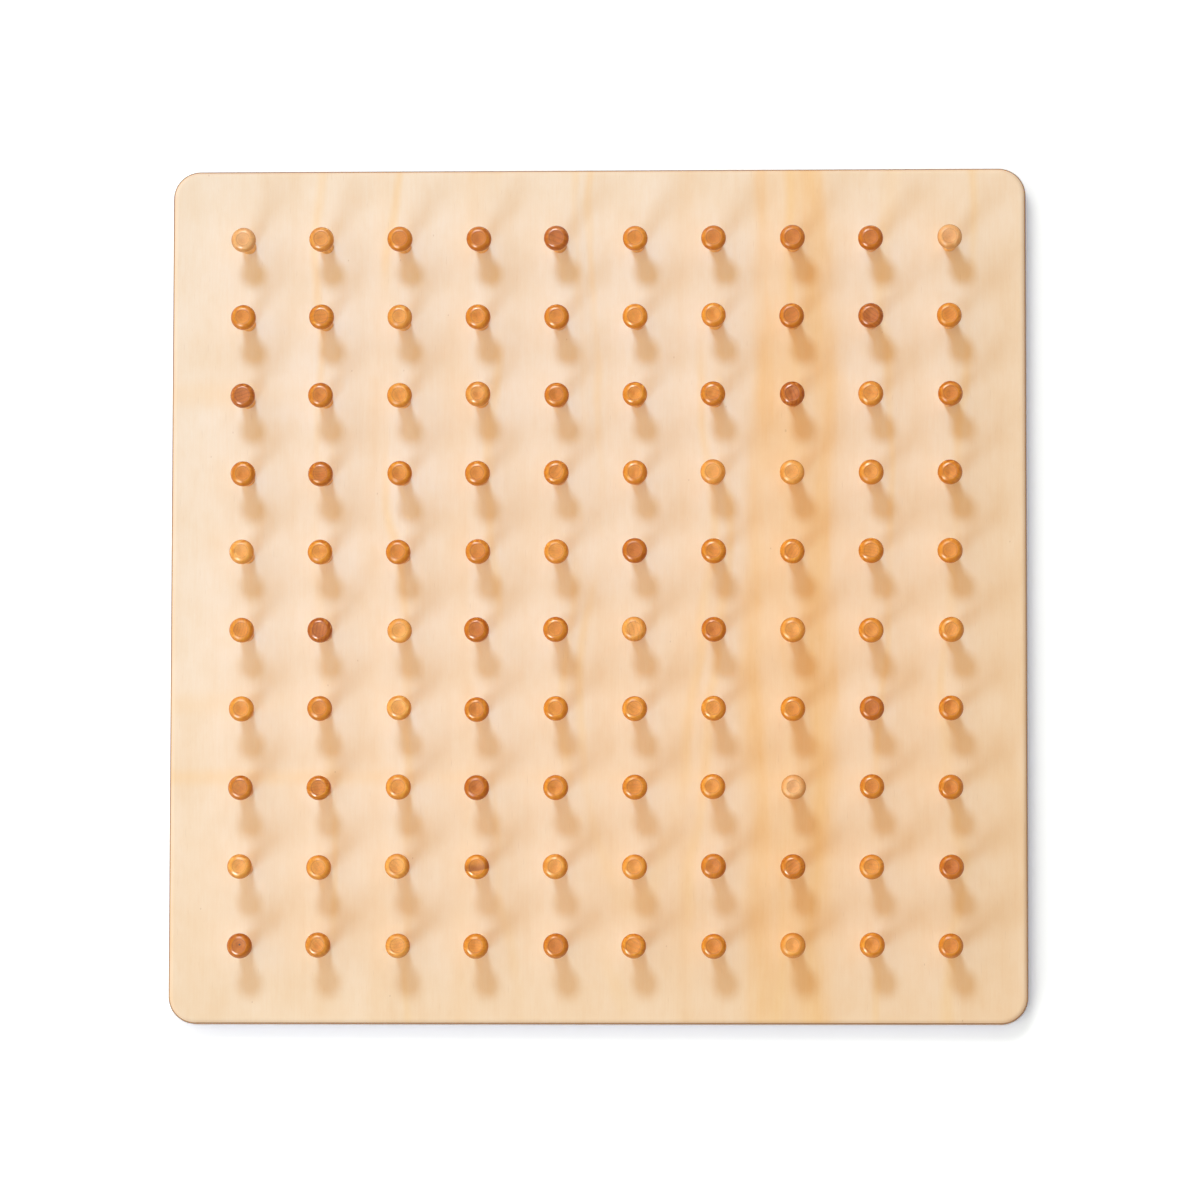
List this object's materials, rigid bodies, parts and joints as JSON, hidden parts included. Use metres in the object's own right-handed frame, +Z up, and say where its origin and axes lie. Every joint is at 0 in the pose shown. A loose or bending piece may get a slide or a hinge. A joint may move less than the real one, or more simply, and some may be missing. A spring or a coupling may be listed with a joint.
{
  "type": "multiplication board",
  "caption": "Square pale plywood board with rounded corners and a grid of turned, headed wooden pegs that hold yarn or rubber bands for multiplication and shape work.",
  "frame": {"origin": "centre of the board's underside", "axes": "+Z up out of the pegged face, +Y towards the far edge at the top of the picture, +X to the right"},
  "size_m": [0.329, 0.329, 0.0358],
  "materials": {
    "birch_plywood": "pale rotary-cut plywood face, fine sanded and clear sealed, satin",
    "varnished_peg": "turned hardwood under amber varnish, from honey to russet, semi-gloss"
  },
  "bodies": {
    "root": {"board": "birch_plywood", "row_01_pegs_01_02": "varnished_peg", "row_01_pegs_03_04": "varnished_peg", "row_01_pegs_05_06": "varnished_peg", "row_01_pegs_07_08": "varnished_peg", "row_01_pegs_09_10": "varnished_peg", "row_02_pegs_01_02": "varnished_peg", "row_02_pegs_03_04": "varnished_peg", "row_02_pegs_05_06": "varnished_peg", "row_02_pegs_07_08": "varnished_peg", "row_02_pegs_09_10": "varnished_peg", "row_03_pegs_01_02": "varnished_peg", "row_03_pegs_03_04": "varnished_peg", "row_03_pegs_05_06": "varnished_peg", "row_03_pegs_07_08": "varnished_peg", "row_03_pegs_09_10": "varnished_peg", "row_04_pegs_01_02": "varnished_peg", "row_04_pegs_03_04": "varnished_peg", "row_04_pegs_05_06": "varnished_peg", "row_04_pegs_07_08": "varnished_peg", "row_04_pegs_09_10": "varnished_peg", "row_05_pegs_01_02": "varnished_peg", "row_05_pegs_03_04": "varnished_peg", "row_05_pegs_05_06": "varnished_peg", "row_05_pegs_07_08": "varnished_peg", "row_05_pegs_09_10": "varnished_peg", "row_06_pegs_01_02": "varnished_peg", "row_06_pegs_03_04": "varnished_peg", "row_06_pegs_05_06": "varnished_peg", "row_06_pegs_07_08": "varnished_peg", "row_06_pegs_09_10": "varnished_peg", "row_07_pegs_01_02": "varnished_peg", "row_07_pegs_03_04": "varnished_peg", "row_07_pegs_05_06": "varnished_peg", "row_07_pegs_07_08": "varnished_peg", "row_07_pegs_09_10": "varnished_peg", "row_08_pegs_01_02": "varnished_peg", "row_08_pegs_03_04": "varnished_peg", "row_08_pegs_05_06": "varnished_peg", "row_08_pegs_07_08": "varnished_peg", "row_08_pegs_09_10": "varnished_peg", "row_09_pegs_01_02": "varnished_peg", "row_09_pegs_03_04": "varnished_peg", "row_09_pegs_05_06": "varnished_peg", "row_09_pegs_07_08": "varnished_peg", "row_09_pegs_09_10": "varnished_peg", "row_10_pegs_01_02": "varnished_peg", "row_10_pegs_03_04": "varnished_peg", "row_10_pegs_05_06": "varnished_peg", "row_10_pegs_07_08": "varnished_peg", "row_10_pegs_09_10": "varnished_peg"}
  },
  "joints": []
}
